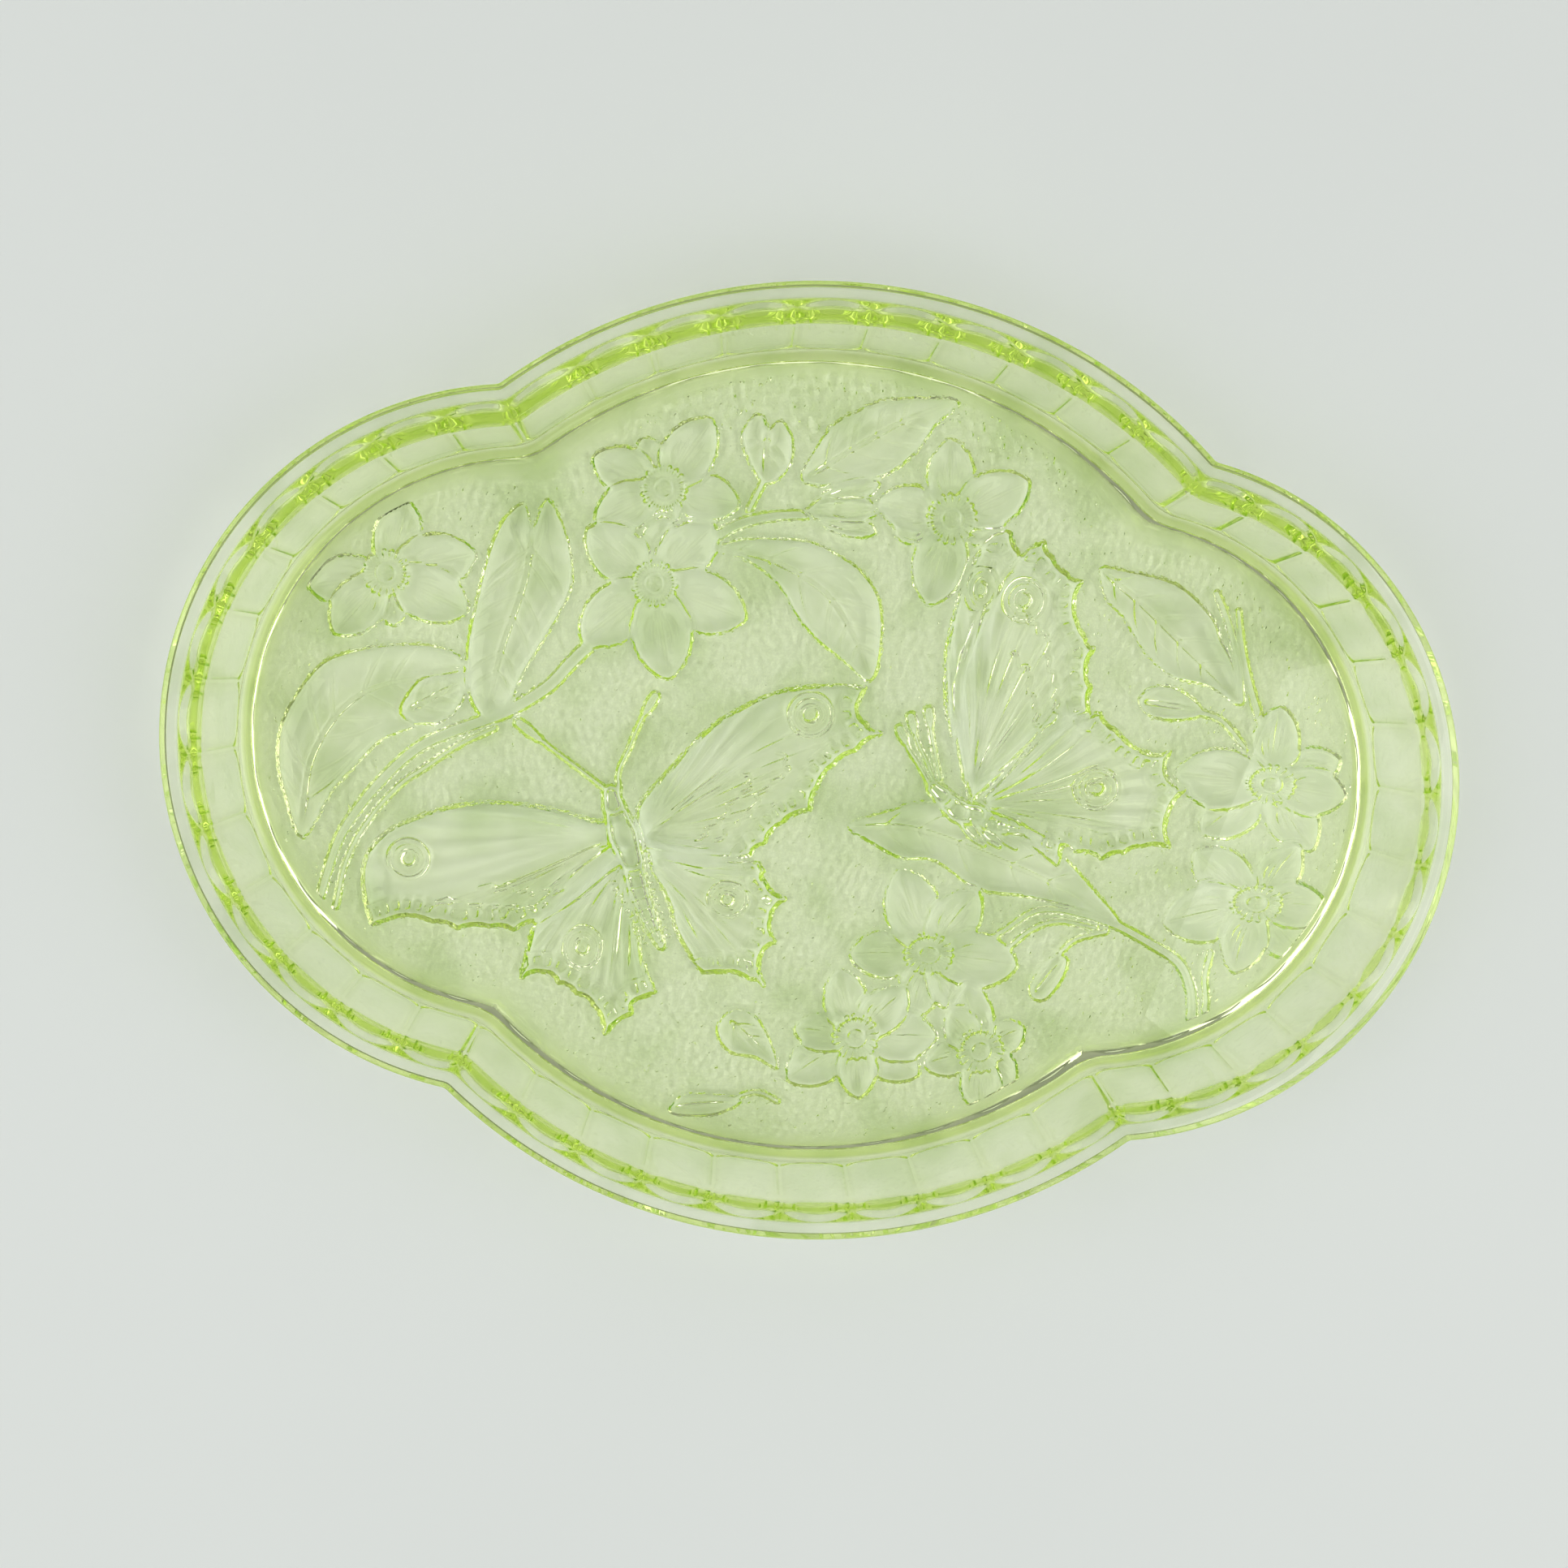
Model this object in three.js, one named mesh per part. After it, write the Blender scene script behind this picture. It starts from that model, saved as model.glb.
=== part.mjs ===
// Four-lobed serving dish in pressed glass. It is one piece, as it comes out of the mould: a thin flat floor on a
// low foot ring, a flared wall with flutes pressed into its outer side, and a broad flat lip round the top.
// Millimetres, +Z up, X along the length. The origin is under the middle of the dish, on the plane of the foot.
import * as THREE from "three";

const radians = THREE.MathUtils.degToRad;

// Overall size
const LENGTH = 320; // over the two end lobes
const WIDTH = 236; // over the two side lobes
const HEIGHT = 27;

// Plan of the lip's edge: each end lobe and each side lobe is an arc, and neighbours meet at an inward corner
const CORNER_X = 86.6;
const CORNER_Y = 85.5;
const CORNER_ROUND = 3;

// Insets are measured square to the lip's edge, towards the middle. Heights are above the foot's plane.
const FOOT_OUTER_INSET = 11.9;
const FOOT_INNER_INSET = 14;
const HEEL = 2.1; // rounding on the outside of the foot
const RECESS_INSET = 14.9;
const RECESS_Z = 1.2; // the floor's underside stands this far off the table
const FLOOR_Z = 4.3; // top of the floor
const FLOOR_INSET = 15.8; // where the cove runs out into the floor
const COVE_Z = 7; // where the inner wall turns into the cove
const COVE_INSET = 12.3;
const LIP_UNDER_Z = 24.2;
const LIP_WIDTH = 9.8; // from the lip's edge to the inner wall
const LIP_OVERHANG = 3.6; // from the lip's edge to the outer wall
const LIP_FALL = 0.5; // the lip's top slopes down this much towards the inside
const LIP_BEVEL = 1.3; // the lip's edge slopes in by this much underneath
const LIP_ROUND = 0.6; // on the top of the lip's edge
const LIP_INNER_ROUND = 1.7;
const WALL_TOP_Z = 24.5; // the inner wall starts here, under the rounded inner edge of the lip

// Flutes in the outer wall: shallow scoops, rounded at the foot and arched under the lip
const END_LOBE_PITCH = radians(13);
const SIDE_LOBE_PITCH = radians(8.3);
const END_LOBE_HALF_COUNT = 6; // ridges from the middle of an end lobe to its last one before the corner
const SIDE_LOBE_HALF_COUNT = 4;
const WALK_INSET = 13.2; // the flutes are spaced out along the line this far in from the lip's edge
const FLUTE_DEPTH = 1.5;
const FLUTE_FLATNESS = 3.5; // the higher, the flatter a flute is across its middle
const FLUTE_EDGE = 1.3; // height over which a flute dies out at each end
const ARCH_TOP_Z = 23.7;
const ARCH_RISE = 4; // the arch is this much lower at the ridges than in the middle of a flute
const TOE_Z = 2.2;
const TOE_RISE = 2.4; // the flute's foot is this much higher at the ridges
const STEPS_PER_FLUTE = 4;

// The circle, centred on one axis, that passes through the lobe's tip and both its corners
function lobeCircle(tip, cornerAlong, cornerAcross) {
  const centre = (cornerAlong ** 2 + cornerAcross ** 2 - tip ** 2) / (2 * (cornerAlong - tip));
  return { centre, radius: tip - centre };
}

const endLobe = lobeCircle(LENGTH / 2, CORNER_X, CORNER_Y);
const sideLobe = lobeCircle(WIDTH / 2, CORNER_Y, CORNER_X);

// The small circle outside the corner that touches both lobes
function cornerCentre() {
  const toEnd = endLobe.radius + CORNER_ROUND;
  const toSide = sideLobe.radius + CORNER_ROUND;
  const towards = new THREE.Vector2(-endLobe.centre, sideLobe.centre);
  const span = towards.length();
  towards.divideScalar(span);
  const along = (toEnd ** 2 - toSide ** 2 + span ** 2) / (2 * span);
  const off = Math.sqrt(toEnd ** 2 - along ** 2);
  return new THREE.Vector2(
    endLobe.centre + towards.x * along + towards.y * off,
    towards.y * along - towards.x * off,
  );
}

// One quarter of the outline, walked from the +X tip to the +Y tip
const corner = cornerCentre();
const endAngle = Math.atan2(corner.y, corner.x - endLobe.centre);
const sideAngle = Math.atan2(corner.x, corner.y - sideLobe.centre);
const endWalk = (endLobe.radius - WALK_INSET) * endAngle;
const cornerWalk = (CORNER_ROUND + WALK_INSET) * (endAngle + sideAngle - Math.PI / 2);
const sideWalk = (sideLobe.radius - WALK_INSET) * sideAngle;
const quarterWalk = endWalk + cornerWalk + sideWalk;

// The lip's edge and its outward normal, a given walk from the +X tip
function edgeAt(walk) {
  let angle = walk / (endLobe.radius - WALK_INSET);
  let centre = new THREE.Vector2(endLobe.centre, 0);
  let radius = endLobe.radius;
  if (walk > endWalk + cornerWalk) {
    angle = Math.PI / 2 - (quarterWalk - walk) / (sideLobe.radius - WALK_INSET);
    centre = new THREE.Vector2(0, sideLobe.centre);
    radius = sideLobe.radius;
  } else if (walk > endWalk) {
    angle = endAngle - (walk - endWalk) / (CORNER_ROUND + WALK_INSET);
    centre = corner;
    radius = -CORNER_ROUND;
  }
  const normal = new THREE.Vector2(Math.cos(angle), Math.sin(angle));
  return { point: centre.clone().addScaledVector(normal, radius), normal };
}

// Walks of the ridges between flutes in one quarter, from the +X tip's half flute to the ridge on the Y axis
function ridgeWalks() {
  const walks = [];
  for (let i = 0; i < END_LOBE_HALF_COUNT; i++) {
    walks.push((endLobe.radius - WALK_INSET) * END_LOBE_PITCH * (i + 0.5));
  }
  walks.push(endWalk + cornerWalk / 2);
  for (let i = SIDE_LOBE_HALF_COUNT; i >= 0; i--) {
    walks.push(quarterWalk - (sideLobe.radius - WALK_INSET) * SIDE_LOBE_PITCH * i);
  }
  return walks;
}

// Places round a quarter where the section is drawn. across runs from -1 to 1 between two ridges.
function quarterStations() {
  const stations = [];
  let from = -ridgeWalks()[0];
  for (const to of ridgeWalks()) {
    for (let step = 0; step < STEPS_PER_FLUTE; step++) {
      const across = (2 * step) / STEPS_PER_FLUTE - 1;
      const walk = from + ((across + 1) / 2) * (to - from);
      if (walk > -1e-9) stations.push({ ...edgeAt(Math.max(walk, 0)), across });
    }
    from = to;
  }
  stations.push({ ...edgeAt(quarterWalk), across: 1 });
  return stations;
}

function mirrored({ point, normal, across }, sx, sy) {
  const sign = new THREE.Vector2(sx, sy);
  return { point: point.clone().multiply(sign), normal: normal.clone().multiply(sign), across };
}

// All the way round, anticlockwise from +X
function perimeterStations() {
  const quarter = quarterStations();
  const back = [...quarter].reverse();
  return [
    ...quarter.slice(0, -1),
    ...back.slice(0, -1).map((s) => mirrored(s, -1, 1)),
    ...quarter.slice(0, -1).map((s) => mirrored(s, -1, -1)),
    ...back.slice(0, -1).map((s) => mirrored(s, 1, -1)),
  ];
}

// Inset of the outer wall before the flutes are pressed in: a straight flare from the heel to the lip
function wallInset(z) {
  return THREE.MathUtils.mapLinear(z, HEEL, LIP_UNDER_Z, FOOT_OUTER_INSET - HEEL, LIP_OVERHANG);
}

// Points of the outer wall, from the heel up to the lip
function flutedWall(across) {
  const scoop = FLUTE_DEPTH * (1 - Math.abs(across) ** FLUTE_FLATNESS);
  const toe = TOE_Z + TOE_RISE * across ** 2;
  const arch = ARCH_TOP_Z - ARCH_RISE * across ** 2;
  const middle = (toe + arch) / 2;
  return [
    [wallInset(toe), toe],
    [wallInset(toe + FLUTE_EDGE) + scoop, toe + FLUTE_EDGE],
    [wallInset(middle) + scoop, middle],
    [wallInset(arch - FLUTE_EDGE) + scoop, arch - FLUTE_EDGE],
    [wallInset(arch), arch],
  ];
}

// The section as [inset, z], from the underside's recess, out and up round the lip, and in to the floor
function section(across) {
  const lipTopZ = HEIGHT - LIP_FALL;
  return [
    [RECESS_INSET, RECESS_Z],
    [FOOT_INNER_INSET, 0],
    [FOOT_OUTER_INSET, 0],
    [FOOT_OUTER_INSET - HEEL * 0.7, HEEL * 0.3],
    [FOOT_OUTER_INSET - HEEL, HEEL],
    ...flutedWall(across),
    [LIP_OVERHANG, LIP_UNDER_Z],
    [LIP_BEVEL, LIP_UNDER_Z],
    [0, HEIGHT - LIP_ROUND],
    [LIP_ROUND * 0.3, HEIGHT - LIP_ROUND * 0.3],
    [LIP_ROUND, HEIGHT],
    [LIP_WIDTH - LIP_INNER_ROUND, lipTopZ],
    [LIP_WIDTH - LIP_INNER_ROUND * 0.3, lipTopZ - LIP_INNER_ROUND * 0.3],
    [LIP_WIDTH, WALL_TOP_Z],
    [COVE_INSET, COVE_Z],
    ...cove(),
  ];
}

// A quarter of an ellipse from the foot of the inner wall to the floor
function cove() {
  const points = [];
  const steps = 4;
  for (let i = 1; i <= steps; i++) {
    const turn = (i / steps) * (Math.PI / 2);
    points.push([
      FLOOR_INSET - (FLOOR_INSET - COVE_INSET) * Math.cos(turn),
      COVE_Z - (COVE_Z - FLOOR_Z) * Math.sin(turn),
    ]);
  }
  return points;
}

// One closed skin: the section swept round the stations, with a fan over the underside and one over the floor
function dishGeometry() {
  const stations = perimeterStations();
  const rings = section(0).length;
  const positions = [];
  for (const { point, normal, across } of stations) {
    for (const [inset, z] of section(across)) {
      positions.push(point.x - inset * normal.x, point.y - inset * normal.y, z);
    }
  }
  const underCentre = positions.length / 3;
  const floorCentre = underCentre + 1;
  positions.push(0, 0, RECESS_Z, 0, 0, FLOOR_Z);

  const index = [];
  for (let i = 0; i < stations.length; i++) {
    const here = i * rings;
    const next = ((i + 1) % stations.length) * rings;
    index.push(underCentre, next, here);
    for (let j = 0; j < rings - 1; j++) {
      index.push(here + j, next + j, next + j + 1);
      index.push(here + j, next + j + 1, here + j + 1);
    }
    index.push(floorCentre, here + rings - 1, next + rings - 1);
  }

  const geometry = new THREE.BufferGeometry();
  geometry.setAttribute("position", new THREE.Float32BufferAttribute(positions, 3));
  geometry.setIndex(index);
  geometry.computeVertexNormals();
  return geometry;
}

const uraniumGlass = new THREE.MeshStandardMaterial({
  color: new THREE.Color(0.72, 0.88, 0.5),
  roughness: 0.04,
  metalness: 0,
  transparent: true,
  opacity: 0.4,
  flatShading: true,
});

const dish = new THREE.Mesh(dishGeometry(), uraniumGlass);
dish.name = "glass_dish";

const part = new THREE.Group();
part.add(dish);

export default part;
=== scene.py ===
import math

import bpy
import numpy as np
from mathutils import Matrix, Vector
from mathutils.geometry import delaunay_2d_cdt


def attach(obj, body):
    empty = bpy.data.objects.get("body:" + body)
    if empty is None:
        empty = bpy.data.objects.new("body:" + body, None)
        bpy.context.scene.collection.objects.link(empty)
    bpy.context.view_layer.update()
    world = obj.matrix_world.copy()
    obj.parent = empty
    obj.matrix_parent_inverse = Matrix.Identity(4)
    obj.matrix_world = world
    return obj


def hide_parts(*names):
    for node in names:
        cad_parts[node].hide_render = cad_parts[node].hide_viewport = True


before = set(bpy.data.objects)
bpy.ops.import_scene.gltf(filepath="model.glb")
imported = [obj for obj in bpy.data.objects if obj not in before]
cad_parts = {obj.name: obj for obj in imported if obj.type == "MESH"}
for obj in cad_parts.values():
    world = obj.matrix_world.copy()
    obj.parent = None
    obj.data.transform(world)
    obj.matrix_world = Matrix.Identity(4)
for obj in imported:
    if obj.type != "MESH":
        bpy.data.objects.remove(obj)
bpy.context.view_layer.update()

# Every length below is in millimetres until the mesh is made.
MM = 0.001

# The dish, as its CAD part has it
LENGTH = 320.0
WIDTH = 236.0
HEIGHT = 27.0
CORNER_X = 86.6
CORNER_Y = 85.5
CORNER_ROUND = 3.0
FOOT_OUTER_INSET = 11.9
HEEL = 2.1
RECESS_INSET = 14.9
RECESS_Z = 1.2
FLOOR_Z = 4.3
FLOOR_INSET = 15.8
COVE_Z = 7.0
COVE_INSET = 12.3
WALK_INSET = 13.2
LIP_UNDER_Z = 24.2
LIP_WIDTH = 9.8
LIP_OVERHANG = 3.6
LIP_FALL = 0.5
LIP_ROUND = 0.6
LIP_BEVEL = 1.3
LIP_INNER_ROUND = 1.7
LIP_INNER_DROP = 1.2 * LIP_INNER_ROUND
END_LOBE_PITCH = math.radians(13)
SIDE_LOBE_PITCH = math.radians(8.3)
END_LOBE_HALF_COUNT = 6
SIDE_LOBE_HALF_COUNT = 4
FLUTE_DEPTH = 1.5
FLUTE_FLATNESS = 3.5
FLUTE_EDGE = 1.3
ARCH_TOP_Z = 23.7
ARCH_RISE = 4.0
TOE_Z = 2.2
TOE_RISE = 2.4

# The patterned ground ends in a line of four plain arcs, with sharp inward corners between them
GROUND_END_TIP = 143.1
GROUND_SIDE_TIP = 100.4
GROUND_CORNER_X = 76.0
GROUND_CORNER_Y = 65.9

STEPS_PER_FLUTE = 18

# The relief in the floor's underside. Heights are how far the glass is pressed up from the plain underside.
GRID = 0.35             # spacing of the points that carry the relief
GRID_MARGIN = 0.4       # they stay this far inside the line that ends the ground
GRID_REACH_X = 144      # and are laid out this far each way before that
GRID_REACH_Y = 101
GROUND_LIFT = 0.15      # mean height of the pebbled ground
PEBBLE_HEIGHT = 0.3
PEBBLE_PITCH = 1.7
PEBBLE_ASPECT = 1.35    # they are this much longer along y than along x
PEBBLE_REPEAT = 257     # this many, each way, before the same ones come again
PRESS = 1.45            # height of a petal's or leaf's edge
EDGE = 1.25             # width of the slope up to it
WING_PRESS = 2.05       # the same for a wing
WING_EDGE = 1.75
MOAT = 0.5              # depth of the line cut in the shapes behind, just outside a new one
LINE_SPREAD = 1.35      # every drawn line is this much wider than its call says
LOWEST = -0.85          # the relief is cut off here, clear of the table
HIGHEST = 2.6           # and here, short of the floor's top
FRILLS = 18             # round a flower's cup
STREAKS = 54            # round a wing's root, if they went full circle
STROKE_PITCH = 2.3      # of the short strokes along a wing's jagged side

# The glass. Blue is lost fastest on the way through it, then red, so long paths turn a saturated green.
GLASS_IOR = 1.51
ABSORB_COLOUR = (0.785, 0.906, 0.03, 1)
ABSORB_DENSITY = 52.0                     # per metre
PAINTED_GLOW_COLOUR = (0.5, 0.8, 0.06, 1)         # painted glow: a uniform green self-glow, for the faint fluorescence of uranium glass in daylight and to lift its green edges
PAINTED_GLOW_STRENGTH = 0.015
# Painted shade: the colour of soft darker patches in the glass, for blotchy shadow and reflections
PAINTED_SHADE_TINT = (0.87, 0.905, 0.82, 1)

# The camera looks down from above the dish's upper left part, slightly towards the lower right
CAMERA_PLACE = (-37.2, 39.3, 400.6)
CAMERA_FORWARD = (0.0711, -0.1108, -0.9913)
CAMERA_UP = (-0.0913, 0.9889, -0.1171)
CAMERA_LENS = 35.4037267

# The studio: its walls at the horizon, a little above it and overhead, and the paper under the dish
HORIZON_TONE = (0.55, 0.56, 0.55, 1)
LOW_TONE = (0.6, 0.62, 0.61, 1)
HIGH_TONE = (0.95, 0.97, 0.96, 1)
STUDIO_STRENGTH = 0.36
PAPER_DARK = (0.79, 0.82, 0.79, 1)
PAPER_LIGHT = (0.81, 0.84, 0.81, 1)
PAPER_SIZE = 24.0                         # metres, so that it reaches the horizon in views from the side
PAPER_DROP = 0.0002                       # metres, so that the foot doesn't touch it


def lobe_circle(tip, corner_along, corner_across):
    """Centre and radius of the circle on one axis through a lobe's tip and its corners."""
    centre = (corner_along**2 + corner_across**2 - tip**2) / (2 * (corner_along - tip))
    return centre, tip - centre


END_CENTRE, END_RADIUS = lobe_circle(LENGTH / 2, CORNER_X, CORNER_Y)
SIDE_CENTRE, SIDE_RADIUS = lobe_circle(WIDTH / 2, CORNER_Y, CORNER_X)


def corner_centre():
    """Centre of the small circle outside the corner that touches both lobes."""
    to_end = END_RADIUS + CORNER_ROUND
    to_side = SIDE_RADIUS + CORNER_ROUND
    towards = np.array([-END_CENTRE, SIDE_CENTRE])
    span = np.linalg.norm(towards)
    towards = towards / span
    along = (to_end**2 - to_side**2 + span**2) / (2 * span)
    off = math.sqrt(to_end**2 - along**2)
    return np.array([
        END_CENTRE + towards[0] * along + towards[1] * off,
        towards[1] * along - towards[0] * off,
    ])


CORNER = corner_centre()
END_ANGLE = math.atan2(CORNER[1], CORNER[0] - END_CENTRE)
SIDE_ANGLE = math.atan2(CORNER[0], CORNER[1] - SIDE_CENTRE)
END_WALK = (END_RADIUS - WALK_INSET) * END_ANGLE
CORNER_WALK = (CORNER_ROUND + WALK_INSET) * (END_ANGLE + SIDE_ANGLE - math.pi / 2)
SIDE_WALK = (SIDE_RADIUS - WALK_INSET) * SIDE_ANGLE
QUARTER_WALK = END_WALK + CORNER_WALK + SIDE_WALK


def edge_at(walk):
    """The lip's edge and its outward normal, a given walk from the +X tip."""
    angle = walk / (END_RADIUS - WALK_INSET)
    centre = np.array([END_CENTRE, 0.0])
    radius = END_RADIUS
    if walk > END_WALK + CORNER_WALK:
        angle = math.pi / 2 - (QUARTER_WALK - walk) / (SIDE_RADIUS - WALK_INSET)
        centre = np.array([0.0, SIDE_CENTRE])
        radius = SIDE_RADIUS
    elif walk > END_WALK:
        angle = END_ANGLE - (walk - END_WALK) / (CORNER_ROUND + WALK_INSET)
        centre = CORNER
        radius = -CORNER_ROUND
    normal = np.array([math.cos(angle), math.sin(angle)])
    return centre + normal * radius, normal


def ridge_walks():
    """Walks of the ridges between the flutes in one quarter."""
    walks = [(END_RADIUS - WALK_INSET) * END_LOBE_PITCH * (i + 0.5) for i in range(END_LOBE_HALF_COUNT)]
    walks.append(END_WALK + CORNER_WALK / 2)
    for i in range(SIDE_LOBE_HALF_COUNT, -1, -1):
        walks.append(QUARTER_WALK - (SIDE_RADIUS - WALK_INSET) * SIDE_LOBE_PITCH * i)
    return walks


def quarter_stations():
    """Rows of x, y, normal x, normal y and across, where across runs from -1 to 1 between two ridges."""
    rows = []
    start = -ridge_walks()[0]
    for end in ridge_walks():
        for step in range(STEPS_PER_FLUTE):
            even = 2 * step / STEPS_PER_FLUTE - 1
            across = even * (1.25 - 0.25 * even * even)
            walk = start + (across + 1) / 2 * (end - start)
            if walk > -1e-9:
                point, normal = edge_at(max(walk, 0.0))
                rows.append([*point, *normal, across])
        start = end
    point, normal = edge_at(QUARTER_WALK)
    rows.append([*point, *normal, 1.0])
    return np.array(rows)


def perimeter_stations():
    """All the way round, anticlockwise from the +X tip."""
    quarter = quarter_stations()
    back = quarter[::-1]
    flip_x = np.array([-1, 1, -1, 1, 1])
    flip_y = np.array([1, -1, 1, -1, 1])
    return np.concatenate([
        quarter[:-1],
        back[:-1] * flip_x,
        quarter[:-1] * flip_x * flip_y,
        back[:-1] * flip_y,
    ])


def inset_to_circle(points, normals, centre, radius):
    """How far in from each point, square to the edge, the far side of a circle is met."""
    off = points - centre
    along = np.sum(off * normals, axis=1)
    room = np.maximum(radius**2 - np.sum(off * off, axis=1) + along**2, 0)
    return along - np.sqrt(room)


def ground_insets(stations):
    """Inset of the line that ends the patterned ground, at each station."""
    points = np.abs(stations[:, 0:2])
    normals = stations[:, 2:4] * np.where(stations[:, 0:2] < 0, -1, 1)
    end_centre, end_radius = lobe_circle(GROUND_END_TIP, GROUND_CORNER_X, GROUND_CORNER_Y)
    side_centre, side_radius = lobe_circle(GROUND_SIDE_TIP, GROUND_CORNER_Y, GROUND_CORNER_X)
    to_end = inset_to_circle(points, normals, np.array([end_centre, 0.0]), end_radius)
    to_side = inset_to_circle(points, normals, np.array([0.0, side_centre]), side_radius)
    x = points[:, 0] - to_end * normals[:, 0]
    return np.where(x > GROUND_CORNER_X, to_end, to_side)


def wall_inset(z):
    """Inset of the outer wall before the flutes are pressed in."""
    share = (z - HEEL) / (LIP_UNDER_Z - HEEL)
    return FOOT_OUTER_INSET - HEEL + share * (LIP_OVERHANG - FOOT_OUTER_INSET + HEEL)


def smoothstep(x):
    x = np.clip(x, 0, 1)
    return x * x * (3 - 2 * x)


def foot_rings(stations):
    """From the edge of the patterned ground, over the recess and the foot, to the top of the heel."""
    ground = ground_insets(stations)
    flat = np.zeros_like(ground)
    rings = [
        (ground, flat + RECESS_Z + GROUND_LIFT),
        (ground - 0.25, flat + RECESS_Z + GROUND_LIFT * 0.8),
        (ground - 0.5, flat + RECESS_Z),
        (flat + RECESS_INSET, flat + RECESS_Z),
        (flat + RECESS_INSET - 0.15, flat + 0.7),
        (flat + RECESS_INSET - 0.35, flat + 0.3),
        (flat + RECESS_INSET - 0.6, flat + 0.08),
        (flat + RECESS_INSET - 0.9, flat),
    ]
    for turn in np.linspace(0, math.pi / 2, 5):
        inset = FOOT_OUTER_INSET - HEEL * math.sin(turn)
        rings.append((flat + inset, flat + HEEL * (1 - math.cos(turn))))
    return rings


def flute_rings(across):
    """The fluted outer wall, from its toe to the top of its arch and on to the lip's underside."""
    toe = TOE_Z + TOE_RISE * across**2
    arch = ARCH_TOP_Z - ARCH_RISE * across**2
    rings = []
    for share in 1 - np.cos(np.linspace(0, math.pi, 25)):
        z = toe + (arch - toe) * share / 2
        edge = np.minimum(smoothstep((z - toe) / FLUTE_EDGE), smoothstep((arch - z) / FLUTE_EDGE))
        rings.append((wall_inset(z) + FLUTE_DEPTH * (1 - np.abs(across) ** FLUTE_FLATNESS) * edge, z))
    top = LIP_UNDER_Z - 0.4
    for share in (0.35, 0.7, 1.0):
        z = arch + (top - arch) * share
        rings.append((wall_inset(z), z))
    return rings


def lip_rings(across):
    """Out under the lip, up its sloped edge, and in over its top to the rounded inner edge."""
    flat = np.zeros_like(across)
    rings = [(flat + LIP_OVERHANG - 0.25, flat + LIP_UNDER_Z - 0.1)]
    rings.append((flat + LIP_OVERHANG - 0.7, flat + LIP_UNDER_Z))
    rings.append((flat + LIP_BEVEL + 0.5, flat + LIP_UNDER_Z))
    rings.append((flat + LIP_BEVEL + 0.15, flat + LIP_UNDER_Z + 0.03))
    for share in (0.05, 0.12, 0.25, 0.4, 0.55, 0.7, 0.85, 0.95, 1.0):
        rings.append((
            flat + LIP_BEVEL * (1 - share),
            flat + LIP_UNDER_Z + (HEIGHT - LIP_ROUND - LIP_UNDER_Z) * share,
        ))
    for turn in np.linspace(0, math.pi / 2, 6)[1:]:
        rings.append((
            flat + LIP_ROUND * (1 - math.cos(turn)),
            flat + HEIGHT - LIP_ROUND * (1 - math.sin(turn)),
        ))
    for share in (0.33, 0.67, 1.0):
        rings.append((
            flat + LIP_ROUND + (LIP_WIDTH - LIP_ROUND - LIP_INNER_ROUND) * share,
            flat + HEIGHT - LIP_FALL * share,
        ))
    for turn in np.linspace(0, math.pi / 2, 7)[1:]:
        rings.append((
            flat + LIP_WIDTH - LIP_INNER_ROUND * (1 - math.sin(turn)),
            flat + HEIGHT - LIP_FALL - LIP_INNER_DROP * (1 - math.cos(turn)),
        ))
    return rings


def inner_rings(across):
    """The inner wall, the cove at its foot, and the floor's edge."""
    flat = np.zeros_like(across)
    top_z = HEIGHT - LIP_FALL - LIP_INNER_DROP
    rings = []
    for share in np.linspace(0, 1, 9)[1:]:
        rings.append((
            flat + LIP_WIDTH + (COVE_INSET - LIP_WIDTH) * share,
            flat + top_z + (COVE_Z - top_z) * share,
        ))
    for turn in np.linspace(0, math.pi / 2, 15)[1:]:
        rings.append((
            flat + FLOOR_INSET - (FLOOR_INSET - COVE_INSET) * math.cos(turn),
            flat + COVE_Z - (COVE_Z - FLOOR_Z) * math.sin(turn),
        ))
    return rings


def ring_points(stations):
    """The section swept round the stations, from the ground's edge to near the middle of the floor."""
    across = stations[:, 4]
    points = []
    for inset, z in foot_rings(stations) + flute_rings(across) + lip_rings(across) + inner_rings(across):
        xy = stations[:, 0:2] - stations[:, 2:4] * inset[:, None]
        points.append(np.column_stack([xy, z]))
    edge = points[-1][:, 0:2]
    for share in np.linspace(1, 0, 12)[1:-1]:
        points.append(np.column_stack([edge * share, np.full(len(stations), FLOOR_Z)]))
    return np.concatenate(points)


def ring_faces(count, ring_count):
    """Quads between neighbouring rings, and the fan that closes the last ring at the point after it."""
    here = np.arange(count)
    there = (here + 1) % count
    faces = []
    for low in np.arange(ring_count - 1) * count:
        high = low + count
        faces.append(np.column_stack([low + here, low + there, high + there, high + here]))
    last = (ring_count - 1) * count
    fan = np.column_stack([last + here, last + there, np.full(count, ring_count * count)])
    return np.concatenate(faces), fan


def build_dish():
    stations = perimeter_stations()
    count = len(stations)
    points = ring_points(stations)
    quads, fan = ring_faces(count, len(points) // count)
    points = np.vstack([points, [0, 0, FLOOR_Z]])
    grid_points, grid_quads, band, ground = underside(points[:count, 0:2], len(points))
    smooth_part = np.zeros(len(points))

    mesh = bpy.data.meshes.new("glass_dish_skin")
    verts = np.vstack([points, grid_points]) * MM
    fill_mesh(mesh, verts, np.concatenate([quads, grid_quads]), np.concatenate([fan, band]))
    patterned = mesh.attributes.new("patterned", "FLOAT", "POINT")
    patterned.data.foreach_set("value", np.concatenate([smooth_part, ground]))
    piece = bpy.data.objects.new("pressed_glass_dish", mesh)
    bpy.context.scene.collection.objects.link(piece)
    return piece


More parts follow.
